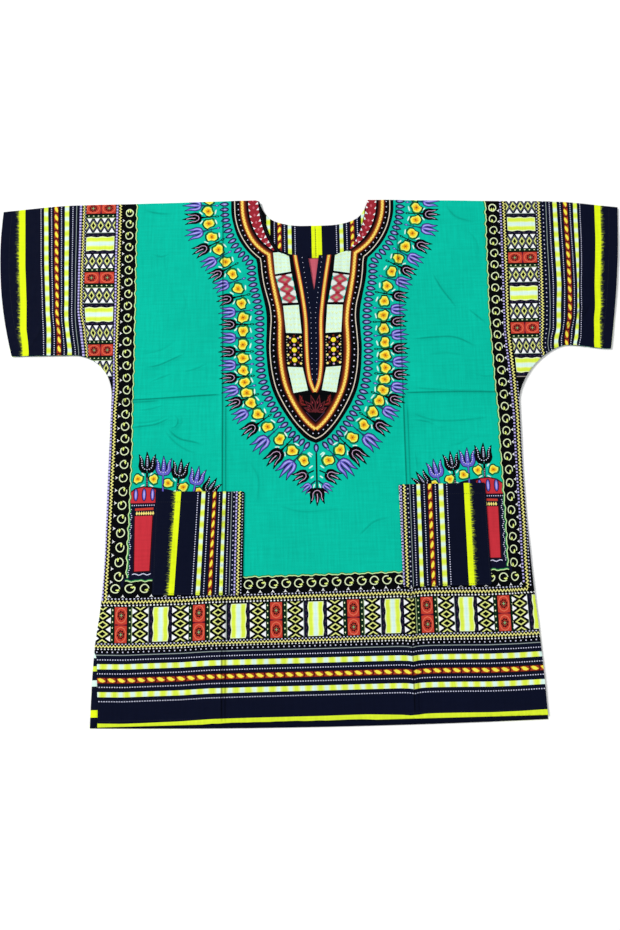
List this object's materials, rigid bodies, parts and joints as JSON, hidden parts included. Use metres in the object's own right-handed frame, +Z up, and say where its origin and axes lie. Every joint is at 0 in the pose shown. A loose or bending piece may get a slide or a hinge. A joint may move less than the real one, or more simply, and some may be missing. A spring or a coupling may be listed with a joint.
{
  "type": "dashiki shirt",
  "caption": "Loose pullover shirt laid flat, with kimono sleeves, a slit neck, side vents, patch pockets and a bordered cotton print.",
  "frame": {"origin": "middle of the shirt's box, on the surface that it lies on", "axes": "+X from the left sleeve to the right sleeve as seen from above, +Y from the hem to the neck, +Z up from the back panel to the front panel"},
  "size_m": [0.9842, 0.814, 0.0058],
  "materials": {
    "back_cloth": "plain-woven cotton, wax-style print, slight sheen",
    "front_cloth": "plain-woven cotton, wax-style print, slight sheen",
    "facing_cloth": "plain-woven cotton, striped print",
    "pocket_cloth": "plain-woven cotton, striped print"
  },
  "bodies": {
    "root": {"back_panel": "back_cloth", "front_panel": "front_cloth", "neck_facing_left": "facing_cloth", "neck_facing_right": "facing_cloth", "pocket_left": "pocket_cloth", "pocket_right": "pocket_cloth"}
  },
  "joints": []
}
